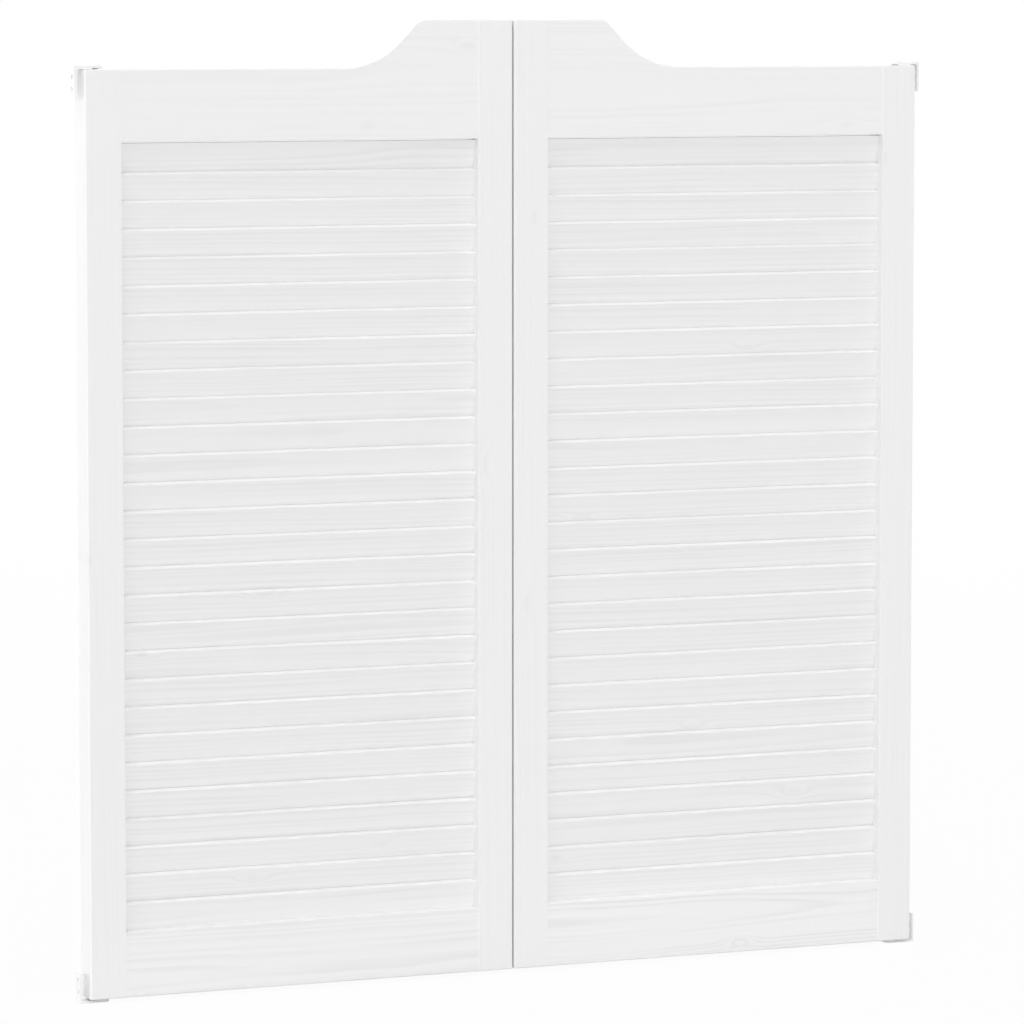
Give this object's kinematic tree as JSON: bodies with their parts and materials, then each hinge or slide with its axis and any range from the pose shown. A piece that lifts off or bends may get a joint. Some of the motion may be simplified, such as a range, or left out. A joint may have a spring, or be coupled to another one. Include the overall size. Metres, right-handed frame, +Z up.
{
  "type": "cafe swinging doors",
  "caption": "Pair of white louvred pine half-height doors with a raised curved centre, each leaf swinging both ways on self-closing pivots set in its edges.",
  "frame": {"origin": "midway between the two jambs, at mid thickness of the closed leaves, level with the underside of the bottom brackets", "axes": "+X across the doorway to the right as seen from the face side, -Y towards the face side, +Z up"},
  "size_m": [0.8652, 0.028, 0.9036],
  "materials": {
    "painted_pine": "white satin paint, faint grain showing through",
    "beech": "bare beech",
    "painted_steel": "white satin paint",
    "zinc_plated_steel": "zinc plated",
    "spring_steel": "bright drawn",
    "nylon": "natural nylon"
  },
  "bodies": {
    "jamb_hardware": {"left_bottom_bracket": "painted_steel", "left_spindle": "zinc_plated_steel", "left_thrust_washer": "nylon", "left_top_bracket": "painted_steel", "left_top_pin": "painted_steel", "right_bottom_bracket": "painted_steel", "right_spindle": "zinc_plated_steel", "right_thrust_washer": "nylon", "right_top_bracket": "painted_steel", "right_top_pin": "painted_steel"},
    "left_leaf": {"left_bottom_bush": "nylon", "left_bottom_rail": "painted_pine", "left_closing_spring": "spring_steel", "left_dowels": "beech", "left_hinge_stile": "painted_pine", "left_housing_screws": "zinc_plated_steel", "left_meeting_stile": "painted_pine", "left_slats_01_02": "painted_pine", "left_slats_03_04": "painted_pine", "left_slats_05_06": "painted_pine", "left_slats_07_08": "painted_pine", "left_slats_09_10": "painted_pine", "left_slats_11_12": "painted_pine", "left_slats_13_14": "painted_pine", "left_slats_15_16": "painted_pine", "left_slats_17_18": "painted_pine", "left_slats_19_20": "painted_pine", "left_slats_21_22": "painted_pine", "left_slats_23_24": "painted_pine", "left_slats_25_26": "painted_pine", "left_slats_27_28": "painted_pine", "left_spring_housing": "zinc_plated_steel", "left_top_bush": "nylon", "left_top_rail": "painted_pine"},
    "right_leaf": {"right_bottom_bush": "nylon", "right_bottom_rail": "painted_pine", "right_closing_spring": "spring_steel", "right_dowels": "beech", "right_hinge_stile": "painted_pine", "right_housing_screws": "zinc_plated_steel", "right_meeting_stile": "painted_pine", "right_slats_01_02": "painted_pine", "right_slats_03_04": "painted_pine", "right_slats_05_06": "painted_pine", "right_slats_07_08": "painted_pine", "right_slats_09_10": "painted_pine", "right_slats_11_12": "painted_pine", "right_slats_13_14": "painted_pine", "right_slats_15_16": "painted_pine", "right_slats_17_18": "painted_pine", "right_slats_19_20": "painted_pine", "right_slats_21_22": "painted_pine", "right_slats_23_24": "painted_pine", "right_slats_25_26": "painted_pine", "right_slats_27_28": "painted_pine", "right_spring_housing": "zinc_plated_steel", "right_top_bush": "nylon", "right_top_rail": "painted_pine"}
  },
  "joints": [
    {"name": "left_leaf_swing", "type": "hinge", "parent": "jamb_hardware", "child": "left_leaf", "pos_m": [-0.41, 0, 0], "axis": [0, 0, 1], "range_deg": [-90, 90], "stiffness_Nm_per_rad": 0.3, "deforming": ["left_closing_spring"]},
    {"name": "right_leaf_swing", "type": "hinge", "parent": "jamb_hardware", "child": "right_leaf", "pos_m": [0.41, 0, 0], "axis": [0, 0, 1], "range_deg": [-90, 90], "stiffness_Nm_per_rad": 0.3, "deforming": ["right_closing_spring"]}
  ]
}
